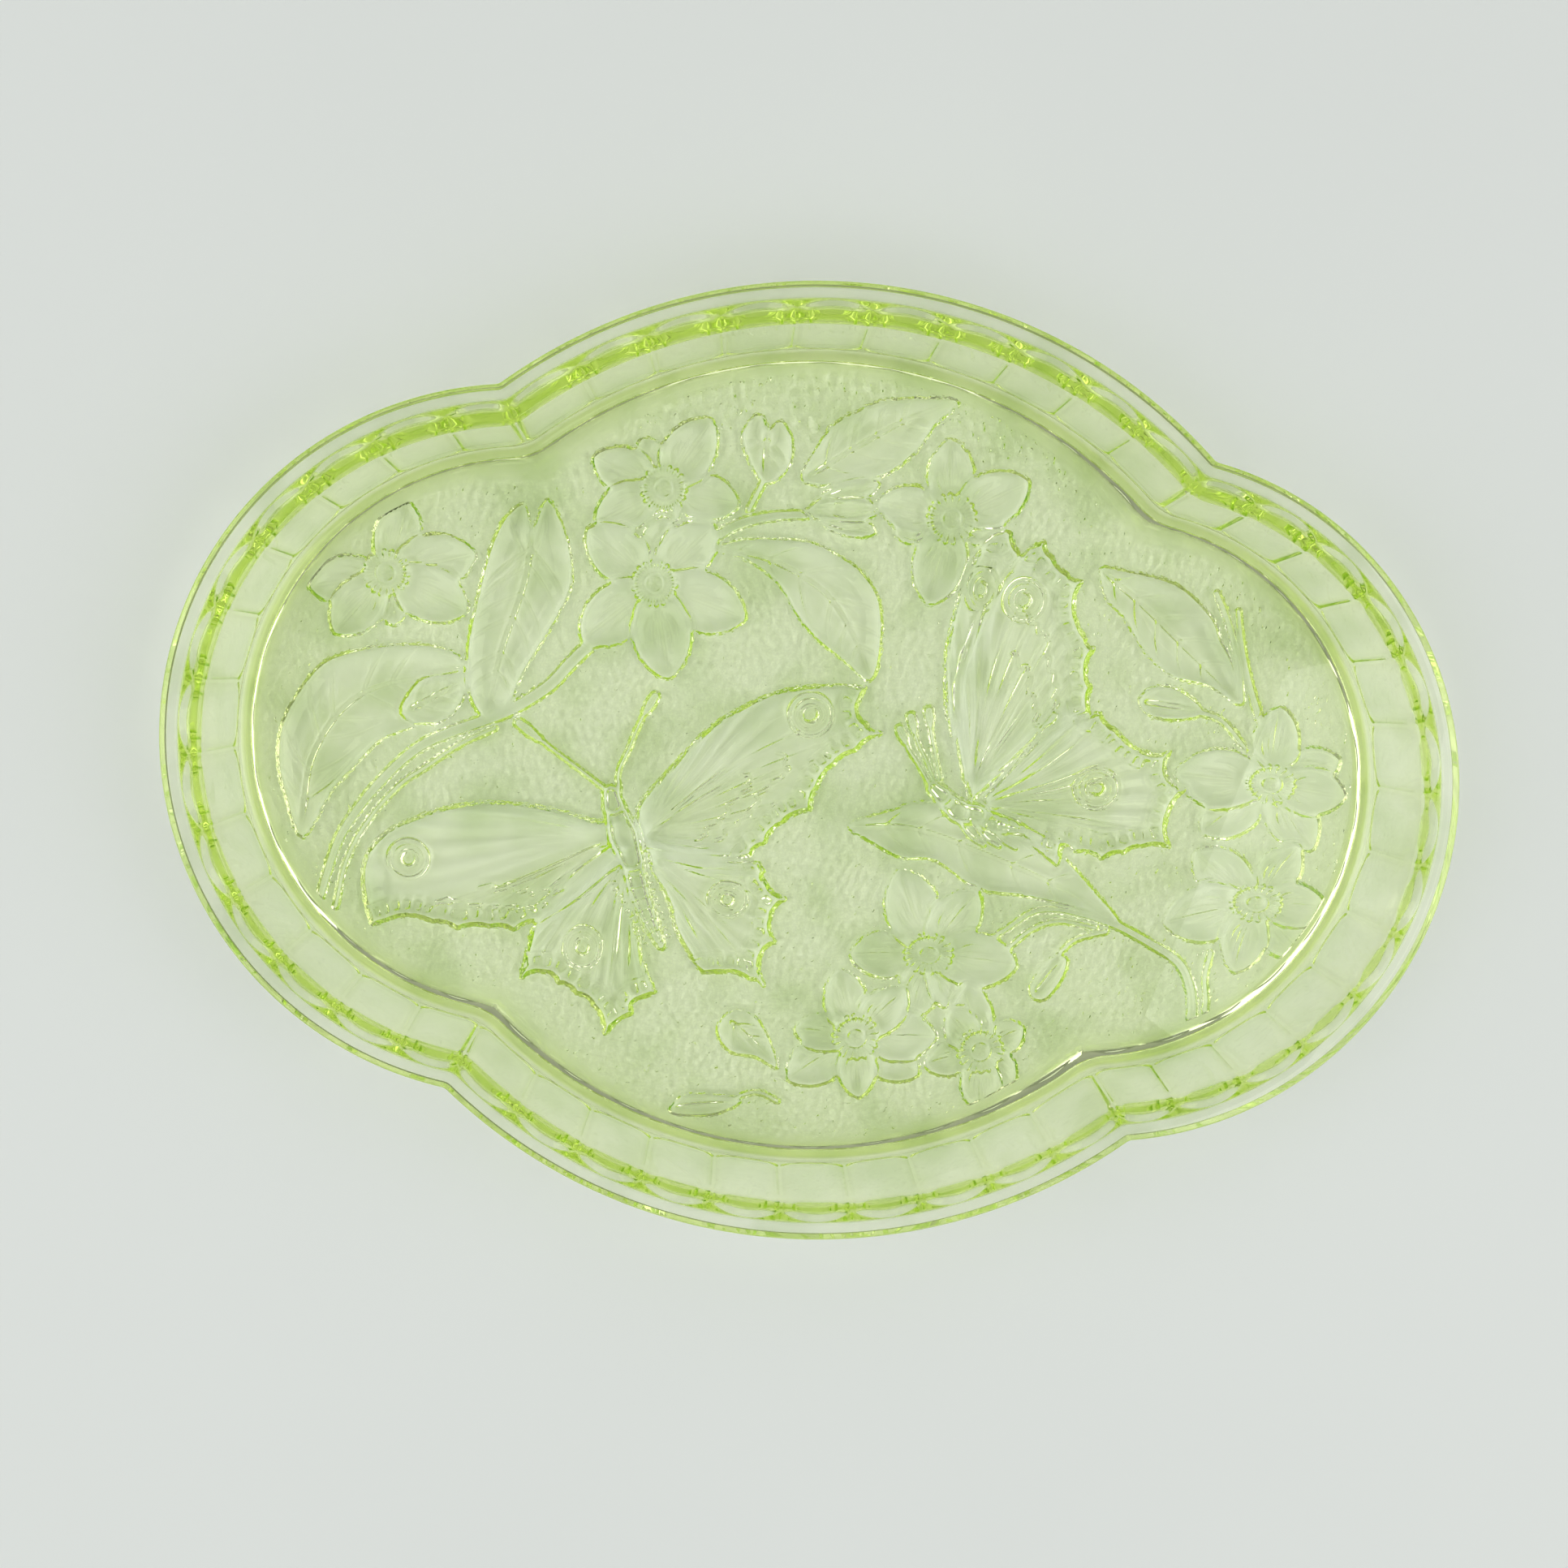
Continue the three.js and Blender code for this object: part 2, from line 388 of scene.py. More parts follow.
def fill_mesh(mesh, verts, quads, tris):
    """Puts points and faces in an empty mesh, smooth shaded."""
    mesh.vertices.add(len(verts))
    mesh.vertices.foreach_set("co", verts.astype(np.float32).ravel())
    corners = np.concatenate([quads.ravel(), tris.ravel()]).astype(np.int32)
    mesh.loops.add(len(corners))
    mesh.loops.foreach_set("vertex_index", corners)
    starts = np.concatenate([
        np.arange(len(quads)) * 4,
        len(quads) * 4 + np.arange(len(tris)) * 3,
    ]).astype(np.int32)
    mesh.polygons.add(len(starts))
    mesh.polygons.foreach_set("loop_start", starts)
    mesh.polygons.foreach_set("use_smooth", np.ones(len(starts), dtype=bool))
    mesh.update(calc_edges=True)
    mesh.validate()


def inside_ground(x, y, margin):
    """True where a point is at least margin inside the line that ends the ground."""
    x = np.abs(x)
    y = np.abs(y)
    end_centre, end_radius = lobe_circle(GROUND_END_TIP, GROUND_CORNER_X, GROUND_CORNER_Y)
    side_centre, side_radius = lobe_circle(GROUND_SIDE_TIP, GROUND_CORNER_Y, GROUND_CORNER_X)
    in_end = np.hypot(x - end_centre, y) < end_radius - margin
    in_side = np.hypot(x, y - side_centre) < side_radius - margin
    in_side_lobe = in_side & (y < GROUND_SIDE_TIP - margin)
    return np.where(x > GROUND_CORNER_X, in_end, in_side_lobe) | (in_end & in_side)


class Pressing:
    """The points of the floor's underside, and how far each is pressed up into the glass."""

    def __init__(self, x, y):
        self.x = x
        self.y = y
        self.height = pebbles(x, y)
        self.ground = np.ones_like(x)

    def near(self, points, margin):
        """Which of the points lie in the box round some others, grown by margin."""
        low = points.min(axis=0) - margin
        high = points.max(axis=0) + margin
        in_x = (self.x > low[0]) & (self.x < high[0])
        in_y = (self.y > low[1]) & (self.y < high[1])
        return np.nonzero(in_x & in_y)[0]


def pebbles(x, y):
    """Close-set low bumps, a little longer along y than x, with flecks and a slow swell among them."""
    u = x / PEBBLE_PITCH
    v = y / (PEBBLE_PITCH * PEBBLE_ASPECT)
    cell_u = np.floor(u).astype(int)
    cell_v = np.floor(v).astype(int)
    nearest = np.full(x.shape, 9.0)
    rng = np.random.default_rng(7)
    jitter = rng.uniform(0.12, 0.88, (PEBBLE_REPEAT, PEBBLE_REPEAT, 2))
    size = rng.uniform(0.6, 1.0, (PEBBLE_REPEAT, PEBBLE_REPEAT))
    lift = np.zeros_like(x)
    for du in (-1, 0, 1):
        for dv in (-1, 0, 1):
            a = (cell_u + du) % PEBBLE_REPEAT
            b = (cell_v + dv) % PEBBLE_REPEAT
            off_u = cell_u + du + jitter[a, b, 0] - u
            off_v = cell_v + dv + jitter[a, b, 1] - v
            away = np.hypot(off_u, off_v) / size[a, b]
            closer = away < nearest
            nearest = np.where(closer, away, nearest)
            lift = np.where(closer, size[a, b], lift)
    fleck = rng.uniform(0, 1, x.shape) > 0.992
    fleck[1:] |= fleck[:-1]
    swell = 0.1 * (np.sin(x / 3.1 + 1.7 * np.sin(y / 7.3)) + np.sin(y / 2.7 + 1.9 * np.sin(x / 6.1)))
    # the pebbles stand higher along the far side of the ground
    lift = lift * (1 + 2 * smoothstep((y - 78) / 8))
    return PEBBLE_HEIGHT * lift * np.clip(1 - nearest, 0, 1) ** 0.8 + 0.5 * fleck + swell


def spline(points, closed=False, steps=6):
    """A smooth line through the points."""
    p = np.array(points, dtype=float)
    if closed:
        before, after, nxt, start = np.roll(p, 1, 0), np.roll(p, -1, 0), np.roll(p, -2, 0), p
    else:
        ends = np.vstack([2 * p[0] - p[1], p, 2 * p[-1] - p[-2]])
        before, start, after, nxt = ends[:-3], ends[1:-2], ends[2:-1], ends[3:]
    t = (np.arange(steps) / steps)[None, :, None]
    a, b, c, d = (q[:, None, :] for q in (before, start, after, nxt))
    line = 0.5 * (2 * b + (c - a) * t + (2 * a - 5 * b + 4 * c - d) * t**2 + (3 * b - a - 3 * c + d) * t**3)
    line = line.reshape(-1, 2)
    return line if closed else np.vstack([line, p[-1]])


def walk_line(x, y, line):
    """Distance to a line, and how far along it the nearest place is, from 0 to 1."""
    best = np.full(x.shape, 1e9)
    along = np.zeros_like(x)
    steps = np.diff(line, axis=0)
    lengths = np.hypot(steps[:, 0], steps[:, 1])
    total = lengths.sum()
    gone = 0.0
    for (ax, ay), (sx, sy), length in zip(line[:-1], steps, lengths):
        if length < 1e-9:
            continue
        t = np.clip(((x - ax) * sx + (y - ay) * sy) / length**2, 0, 1)
        away = np.hypot(x - ax - t * sx, y - ay - t * sy)
        closer = away < best
        best = np.where(closer, away, best)
        along = np.where(closer, (gone + t * length) / total, along)
        gone += length
    return best, along


def depth_inside(x, y, outline):
    """Distance inside a closed outline; negative outside it."""
    away, _ = walk_line(x, y, np.vstack([outline, outline[:1]]))
    inside = np.zeros(x.shape, dtype=bool)
    for (ax, ay), (bx, by) in zip(outline, np.roll(outline, -1, 0)):
        crosses = (ay > y) != (by > y)
        with np.errstate(divide="ignore", invalid="ignore"):
            at = (bx - ax) * (y - ay) / (by - ay) + ax
        inside ^= crosses & (x < at)
    return np.where(inside, away, -away)


def cover(work, at, share, height):
    """Puts a shape of that height in front of what is there, where share is 1."""
    work.height[at] = work.height[at] * (1 - share) + height * share
    work.ground[at] *= 1 - share


def ramp(x):
    """A nearly straight slope from 0 to 1, slightly rounded at both ends."""
    x = np.clip(x, 0, 1)
    return 0.93 * x + 0.07 * smoothstep(x)


def press(work, outline, step=PRESS, crown=-1.0, reach=5.0, edge=EDGE):
    """A shape with a steep edge, in front of what is there already, which falls away towards its middle."""
    at = work.near(outline, 2.2)
    inside = depth_inside(work.x[at], work.y[at], outline)
    behind = smoothstep((work.height[at] - 0.3) / 0.5)
    work.height[at] -= MOAT * behind * np.exp(-(((inside + edge * 0.5 + 0.3) / 0.5) ** 2))
    share = ramp(inside / edge + 0.5)
    rise = smoothstep(inside / reach)
    body = step + crown * rise
    cover(work, at, share, body)
    return at, inside


def line_in(work, points, width, height, taper=(0.25, 0.25)):
    """A groove along a line or, with a negative height, a ridge, thinner towards its ends."""
    width = width * LINE_SPREAD
    line = spline(points) if len(points) > 2 else np.array(points, dtype=float)
    at = work.near(line, width)
    away, along = walk_line(work.x[at], work.y[at], line)
    ends = smoothstep(along / max(taper[0], 1e-6)) * smoothstep((1 - along) / max(taper[1], 1e-6))
    half = width / 2 * (0.45 + 0.55 * ends)
    profile = np.clip(1 - (away / half) ** 2, 0, 1)
    work.height[at] += height * profile * (0.35 + 0.65 * ends)


def stem(work, points, width, end_width=None):
    """A rounded stalk with steep sides."""
    line = spline(points)
    at = work.near(line, width)
    away, along = walk_line(work.x[at], work.y[at], line)
    half = (width + ((end_width or width) - width) * along) / 2
    share = smoothstep((half - away) / (EDGE * 0.8) + 0.5)
    body = PRESS * 0.9 + 0.3 * np.clip(1 - (away / half) ** 2, 0, 1)
    cover(work, at, share, body)


def petal(work, centre, tip, width):
    """One pointed petal with a rib down its middle and fainter ones beside it."""
    centre = np.array(centre, dtype=float)
    axis = np.array(tip, dtype=float) - centre
    side = np.array([-axis[1], axis[0]]) / np.hypot(*axis)
    u = 1 - np.linspace(1, 0, 15) ** 1.4
    v = u**0.75 * (1 - u) ** 0.72
    v = v / v.max() * width / 2
    left = centre + axis * u[:, None] + side * v[:, None]
    right = centre + axis * u[:, None] - side * v[:, None]
    press(work, np.vstack([left, right[-2:0:-1]]), crown=-0.9, reach=width * 0.4)
    line_in(work, [centre + axis * 0.3, centre + axis * 0.93], 0.9, -0.5, (0.2, 0.5))
    for way in (-1, 1):
        for spread, end in ((0.24, 0.72), (0.5, 0.58)):
            points = [
                centre + axis * 0.32 + side * way * spread * width * 0.28,
                centre + axis * (0.32 + end) / 2 + side * way * spread * width * 0.48,
                centre + axis * end + side * way * spread * width * 0.52,
            ]
            line_in(work, points, 0.8, -0.36, (0.3, 0.6))


def flower(work, centre, tips, radius, squash=1.0):
    """Six pointed petals round a frilled cup. The petals listed first lie behind."""
    for tip in tips:
        length = math.hypot(tip[0] - centre[0], tip[1] - centre[1])
        petal(work, centre, tip, max(0.62 * length, 10.0))
    at = work.near(np.array([centre]), radius + 1)
    dx = work.x[at] - centre[0]
    dy = (work.y[at] - centre[1]) / squash
    away = np.hypot(dx, dy)
    turn = np.arctan2(dy, dx)
    rim = radius * (1 + 0.045 * np.cos(FRILLS * turn))
    share = smoothstep((rim - away) / EDGE + 0.5)
    frill = 0.45 * np.cos(FRILLS * turn) * smoothstep((away - radius * 0.5) / (radius * 0.3))
    cup = 1.7 - 0.9 * smoothstep((rim - away) / 1.8) + frill
    cup += 0.6 * np.exp(-(((away - radius * 0.42) / (radius * 0.1)) ** 2))
    cup += 0.25 * np.cos(3 * turn) * np.exp(-(((away - radius * 0.2) / (radius * 0.16)) ** 2))
    cover(work, at, share, cup)


def leaf(work, outline, rib, veins=5):
    """A leaf with its rib sunk down the middle and veins that run forward from it."""
    outline = spline(outline, closed=True, steps=4)
    press(work, outline)
    rib_line = spline(rib)
    line_in(work, rib, 1.2, -0.65, (0.1, 0.4))
    for k in range(1, veins + 1):
        share = k / (veins + 1)
        i = int(share * (len(rib_line) - 2))
        start = rib_line[i]
        ahead = rib_line[min(i + 2, len(rib_line) - 1)] - start
        ahead = ahead / (np.hypot(*ahead) + 1e-9)
        side = np.array([-ahead[1], ahead[0]])
        for way in (-1, 1):
            reach = 2.0
            while reach < 16:
                probe = start + ahead * reach * 0.75 + side * way * reach * 0.66
                if depth_inside(np.array([probe[0]]), np.array([probe[1]]), outline)[0] < 1.2:
                    break
                reach += 1.0
            if reach > 4:
                end = start + ahead * reach * 0.75 + side * way * reach * 0.66
                middle = (start + end) / 2 + side * way * reach * 0.06
                line_in(work, [start, middle, end], 0.85, -0.42, (0.1, 0.6))


def eyespot(work, centre, radius, squash=1.0):
    """Rings inside one another, as on many butterflies' wings."""
    at = work.near(np.array([centre]), radius + 1.5)
    away = np.hypot(work.x[at] - centre[0], (work.y[at] - centre[1]) / squash)
    for ring, lift in ((1.0, -0.85), (0.7, -0.6), (0.45, -0.85), (0.16, 0.6)):
        work.height[at] += lift * np.exp(-(((away - ring * radius) / 0.48) ** 2))


def wing_border(work, at, inside, edge_line):
    """A line inside a wing's jagged side, and short strokes between the two."""
    away, along = walk_line(work.x[at], work.y[at], edge_line)
    within = smoothstep(inside / 0.8)
    work.height[at] -= 0.4 * within * np.exp(-(((away - 4.8) / 0.45) ** 2))
    length = np.hypot(*np.diff(edge_line, axis=0).T).sum()
    strokes = 0.5 + 0.5 * np.cos(along * length / STROKE_PITCH * 2 * math.pi)
    border = smoothstep((away - 1.2) / 1.0) * smoothstep((4.4 - away) / 1.0)
    work.height[at] -= 0.8 * within * strokes * border


def wing_streaks(work, at, inside, root):
    """Faint streaks that fan out from a wing's root."""
    x, y = work.x[at] - root[0], work.y[at] - root[1]
    from_root = np.hypot(x, y)
    fan = np.cos(STREAKS * np.arctan2(y, x) + 1.5 * np.sin(from_root / 9))
    work.height[at] += 0.15 * smoothstep(inside / 0.8) * fan * smoothstep((from_root - 8) / 8)


def wing_veins(work, edge_line, root, veins):
    """Grooves from near the root to near the jagged side, bowed a little away from the middle one."""
    steps = np.diff(edge_line, axis=0)
    lengths = np.hypot(steps[:, 0], steps[:, 1])
    total = np.concatenate([[0], np.cumsum(lengths)])
    for share in np.linspace(0.06, 0.94, veins):
        gone = share * np.hypot(*steps.T).sum()
        i = min(int(np.searchsorted(total, gone)) - 1, len(lengths) - 1)
        end = edge_line[i] + steps[i] * (gone - total[i]) / lengths[i]
        end = root + (end - root) * 0.9
        bow = np.array([-(end - root)[1], (end - root)[0]]) * 0.05 * (0.5 - share) * 2
        line_in(work, [root + (end - root) * 0.08, (root + end) / 2 + bow, end], 0.95, -0.52, (0.1, 0.4))


def wing(work, front, edge, back, root, veins, rows=()):
    """A wing: front and back are smooth sides, edge is the jagged side between them, root is its base.
    Each of rows is how far out a row of feathers lies, as a share of the wing, and its pitch."""
    outline = np.vstack([spline(front, steps=4), np.array(edge, dtype=float), spline(back, steps=4)])
    at, inside = press(work, outline, step=WING_PRESS, crown=-1.5, reach=6.5, edge=WING_EDGE)
    edge_line = np.array([front[-1], *edge, back[0]], dtype=float)
    root = np.array(root, dtype=float)
    wing_border(work, at, inside, edge_line)
    wing_streaks(work, at, inside, root)
    wing_veins(work, edge_line, root, veins)
    for share, pitch in rows:
        feather_row(work, root, edge_line, share, pitch)


def feather_row(work, root, edge_line, share, pitch):
    """Small arcs side by side in a row across the wing."""
    steps = np.hypot(*np.diff(edge_line, axis=0).T)
    gone = np.concatenate([[0], np.cumsum(steps)])
    count = int(gone[-1] * share / pitch)
    at = np.linspace(0.06, 0.94, 7) * gone[-1]
    coarse = np.column_stack([np.interp(at, gone, edge_line[:, 0]), np.interp(at, gone, edge_line[:, 1])])
    row = root + (spline(coarse, steps=12) - root) * share
    places = row[np.linspace(0, len(row) - 1, count + 1).astype(int)]
    for a, b in zip(places[:-1], places[1:]):
        middle = (a + b) / 2
        out = (middle - root) / np.hypot(*(middle - root))
        line_in(work, [a, middle + out * pitch * 0.42, b], 0.85, -0.65, (0.15, 0.15))


def body(work, line, widths, ribs):
    """A head, thorax or tail: a round ridge with rings across it."""
    line = spline(line)
    at = work.near(line, max(widths))
    away, along = walk_line(work.x[at], work.y[at], line)
    half = np.interp(along, np.linspace(0, 1, len(widths)), widths) / 2
    share = ramp((half - away) / EDGE + 0.5)
    lift = 2.3 - 1.5 * smoothstep((half - away) / 2.0)
    if ribs:
        off = np.abs((along * ribs) % 1 - 0.5)
        lift = lift + 0.6 * np.exp(-((off / 0.16) ** 2))
    cover(work, at, share, lift)


def antenna(work, points):
    stem(work, points, 1.3)
    line = spline(points)
    end = line[-5:]
    body(work, [end[0], end[2], end[-1]], (1.6, 2.6, 2.2), 0)


def jagged(points, bite=1.4):
    """Shallow scallops between the points of a wing's outer side."""
    points = np.array(points, dtype=float)
    out = [points[0]]
    for a, b in zip(points[:-1], points[1:]):
        along = b - a
        side = np.array([-along[1], along[0]]) / (np.hypot(*along) + 1e-9)
        for t in (0.25, 0.5, 0.75):
            out.append(a + along * t + side * bite * 4 * t * (1 - t) * 0.5)
        out.append(b)
    return np.array(out)


def right_leaves(work):
    leaf(work, [(67.5, 58.3), (70, 50.8), (75, 46.7), (81.7, 38.3), (90, 32.5), (100, 30.8), (109, 27),
                (105.8, 37), (101.7, 43), (98.3, 49), (88, 56.3), (75, 58.3)],
         [(68, 58), (80, 50), (93, 40), (107, 29)])
    leaf(work, [(9, -14.3), (20, -9.6), (29, -6.3), (44, -9), (56, -14), (66, -17), (77.5, -27),
                (84, -34),
                (71, -31), (58, -29), (45, -28.3), (33, -21.7), (24, -21.8), (15, -18)],
         [(11, -14.5), (28, -14), (50, -20), (70, -27), (82, -33)], veins=6)
    stem(work, [(99, 55), (103, 48), (107, 38), (109, 28)], 1.8, 2.6)
    stem(work, [(105.4, 51), (107.5, 42), (111, 32), (114.6, 24)], 1.6, 2.6)
    leaf(work, [(82, 25), (85, 29), (91, 29.6), (98, 26), (99, 23), (93, 21.2), (86, 21.5)],
         [(83, 25.2), (97, 24.5)], veins=0)
    stem(work, [(98, 24), (105, 22), (112.5, 15)], 1.8)
    stem(work, [(82, -34), (92.5, -38.5), (101.7, -43.5), (106, -51), (107.5, -60)], 2.2, 3.2)
    stem(work, [(110, -40), (109.3, -47), (110.4, -53), (110.8, -60)], 1.8)
    stem(work, [(50, -41.7), (55, -37.5), (61, -33), (67.5, -32), (75, -33), (84, -35)], 1.8)
    stem(work, [(54, -45), (60, -38.5), (67.5, -35), (78, -36)], 1.6)
    stem(work, [(69, -44), (73, -39.5), (81, -36.7)], 1.5)
    leaf(work, [(62.5, -52), (62.8, -56), (66.7, -56.5), (70.5, -51), (71.5, -45), (67, -45)],
         [(64, -55), (70, -46)], veins=0)


def left_leaves(work):
    leaf(work, [(-137, 0), (-130, 13), (-122.5, 18), (-111, 21), (-100, 21.7), (-91.7, 17.5), (-95, 8),
                (-104, 1), (-112, -3), (-118, -10), (-124, -18), (-130.4, -30.4), (-135.5, -20),
                (-138, -10)],
         [(-131, -27), (-129, -8), (-118, 8), (-95, 16)], veins=6)
    leaf(work, [(-108, 4), (-104, 12.5), (-98, 15), (-91.7, 15), (-93, 8), (-99, 2)],
         [(-106, 5), (-94, 13)], veins=2)
    leaf(work, [(-81, 59.6), (-85.4, 56), (-88, 50), (-89.6, 43), (-91.7, 30), (-92.5, 20), (-91, 10),
                (-86, 4), (-81, 8), (-78, 17), (-71, 31), (-67.5, 41.7), (-70, 53), (-75.5, 61.5),
                (-78.5, 54)],
         [(-78.6, 53), (-79.5, 40), (-84, 22), (-86, 8)], veins=6)
    line_in(work, [(-84.5, 56), (-82, 50), (-78.8, 46.7), (-76.5, 52), (-75.6, 59)], 1.0, -0.35)
    stem(work, [(-125, -45), (-121.7, -31), (-116.7, -21), (-110, -11.7), (-103, -4.5), (-95.7, 0),
                (-81.7, 6.7), (-71.7, 14), (-66, 21), (-60, 28)], 2.4, 3.6)
    stem(work, [(-121, -47.5), (-119, -35), (-114, -24), (-107, -14.5), (-101, -9.5), (-92.5, -2.6),
                (-84, 2.4)], 1.6, 1.6)


def top_leaves(work):
    leaf(work, [(-12, 73), (-9, 81), (-5, 87.5), (0, 91), (5, 94), (12.5, 95.8), (25.8, 96.7),
                (21, 90.4), (16.7, 83), (10, 76.7), (2, 73.5), (-5, 72)],
         [(-10, 74), (2, 83), (14, 91), (24, 96)], veins=5)
    leaf(work, [(-28, 81), (-26, 86.7), (-23.5, 87.6), (-21.5, 84.5), (-18.5, 87), (-15, 82), (-15.6, 75),
                (-21.7, 71)],
         [(-21.6, 84), (-21.5, 72)], veins=2)
    stem(work, [(-21.5, 71.5), (-24.5, 64)], 1.8)
    leaf(work, [(-37.5, 50.8), (-29, 52.6), (-22, 50.5), (-15, 45.8), (-10, 39), (-4, 33),
                (3, 28.5), (11, 23.6),
                (12.8, 33), (11.3, 44), (6, 51), (-1, 55), (-8, 57.5), (-16.7, 57.4), (-27, 56)],
         [(-34, 53.5), (-18, 52), (-3, 45), (6, 34), (10.5, 25)], veins=6)
    stem(work, [(-36, 53.5), (-27, 60), (-18, 63), (-8, 64.5), (2, 66)], 3.0, 2.2)
    petal(work, (-9, 65.5), (8, 74), 6.5)
    petal(work, (-9, 65.5), (8.5, 61.5), 6.5)
    petal(work, (-10, 65.5), (10, 67.5), 6)


def flowers(work):
    flower(work, (-46.5, 67), [(-53, 79), (-27, 65), (-47, 56), (-65, 73), (-36, 85.5), (-63, 56.5)], 5.6)
    flower(work, (-46.7, 43), [(-46, 60), (-65, 55), (-33, 59.5), (-64, 26.7), (-22.5, 36.3),
                               (-41, 19)], 5.6)
    flower(work, (-114, 39), [(-110, 57.5), (-92, 46), (-111, 26), (-133, 33.5), (-93, 31),
                              (-126, 22.5)], 5.6)
    flower(work, (27.5, 67), [(13, 62), (42.5, 64.6), (8, 69.5), (25, 87), (46.5, 78.5), (24, 44.6)], 6.2)
    flower(work, (120, 6.7), [(138, 15), (103, -8), (134, -10), (120, 27.5), (94, 7),
                              (141, 5)], 6.6, 0.75)
    flower(work, (120.4, -25.4), [(130, -9), (102, -13), (137, -39), (140, -25), (96, -33),
                                  (117, -45)], 7.0, 0.7)
    flower(work, (34, -46.7), [(13, -48.8), (31.5, -65), (50, -62), (23.8, -24.8), (45.4, -28.8),
                               (58.3, -48)],
           6.4, 0.83)
    flower(work, (50.8, -71.7), [(36, -77), (62, -64.5), (61, -81), (45, -54.5), (53, -89),
                                 (41, -62)], 6.0)
    flower(work, (17, -70.8), [(0, -84), (35, -80), (0.5, -70), (10.4, -53), (39, -69), (19.6, -87.5),
                               (29, -57)], 6.0)
    stem(work, [(-2, -90), (-8, -88), (-15, -91)], 1.4)
    leaf(work, [(-16.7, -66.7), (-20, -72), (-16, -77.5), (-9, -78.5), (-3, -81), (-6, -73), (-11, -67)],
         [(-17, -69), (-6, -78)], veins=2)
    leaf(work, [(-30, -95.5), (-28, -91), (-22, -89.5), (-12, -90.5), (-15, -93.5), (-21, -95.5)],
         [(-29, -94), (-15, -91.5)], veins=0)


def open_butterfly(work):
    """Seen from above with its wings spread."""
    back_left = [(-69, -46.7), (-61.7, -41), (-56, -36), (-49, -29)]
    wing(work, [(-49, -26), (-46, -34), (-44.5, -44), (-42.5, -50), (-40.8, -56), (-37, -63)],
         jagged([(-42, -65.5), (-42.5, -69.2), (-49.2, -75.4), (-52.5, -68), (-57.5, -65), (-62.5, -62.5),
                 (-66, -60), (-72, -62)], -1.6),
         [(-72, -61), (-70.8, -54), (-69, -46), (-60, -38), (-50, -28)],
         (-48, -28), 6)
    wing(work, [(-50, -18.5), (-56, -19.5), (-66, -17.4), (-79, -16.7), (-90, -18), (-101, -22),
                (-110, -27.5),
                (-114.4, -35), (-114, -43), (-111.3, -51.3)],
         jagged([(-105, -48.5), (-96, -49.2), (-89.6, -50.4), (-81.3, -49.2), (-75, -49.6),
                 (-69, -46.7)], 1.6),
         back_left, (-50, -23), 8, rows=((0.6, 5.0), (0.78, 4.6)))
    wing(work, [(-41, -30), (-36, -38), (-33, -46), (-29, -52), (-25, -56.7)],
         jagged([(-20, -56), (-12.5, -57.5), (-8.8, -59), (-10.6, -51.5), (-7, -47), (-8.8, -40.5),
                 (-5.4, -35.4), (-11, -31.5), (-12, -28.5)], 1.6),
         [(-13.5, -26.5), (-25, -26.2), (-42, -26)], (-43, -27), 8)
    wing(work, [(-46, -18), (-45, -13), (-38, -3.5), (-31, 5.5), (-23, 12.5), (-12, 18.6), (0, 21.3),
                (9.6, 21.7)],
         jagged([(8, 16.7), (10.8, 12.5), (15, 10.4), (9, 5.4), (3.6, 1.2), (0, -5), (-1.2, -11.2),
                 (-8.3, -15), (-12.3, -21), (-15.8, -24.6)], -1.5),
         [(-17, -25), (-28, -26.2), (-43, -25.5)], (-45, -22), 9, rows=((0.46, 5.0), (0.62, 4.8)))
    eyespot(work, (-103.5, -33.5), 5.0)
    eyespot(work, (-57, -53), 4.8, 1.15)
    eyespot(work, (-3.5, 13.4), 5.6)
    eyespot(work, (-20.4, -37), 5.0, 0.9)
    antenna(work, [(-51, -11), (-51.6, -6), (-49.6, 0), (-47, 8), (-44, 14.4)])
    antenna(work, [(-55, -10.5), (-62, -6), (-70, -1), (-78, 4.3)])
    for side in (-1, 1):
        for k in range(10):
            along = np.array([-46.5, -33.0]) + np.array([8.6, -16.5]) * k / 9
            out = np.array([0.887, 0.462]) * side * (3.6 - 0.12 * k)
            line_in(work, [along + out, along + out * 1.5], 0.75, -0.8)
    body(work, [(-46.3, -28), (-43.8, -36), (-40.5, -43.5), (-36.6, -50.5)], (5.0, 5.4, 4.4, 2.0), 8)
    body(work, [(-51.6, -16), (-49, -22), (-46.2, -28.5)], (5.6, 7.8, 6.0), 2)
    body(work, [(-53, -11.8), (-52.2, -14.5)], (4.4, 5.2), 0)


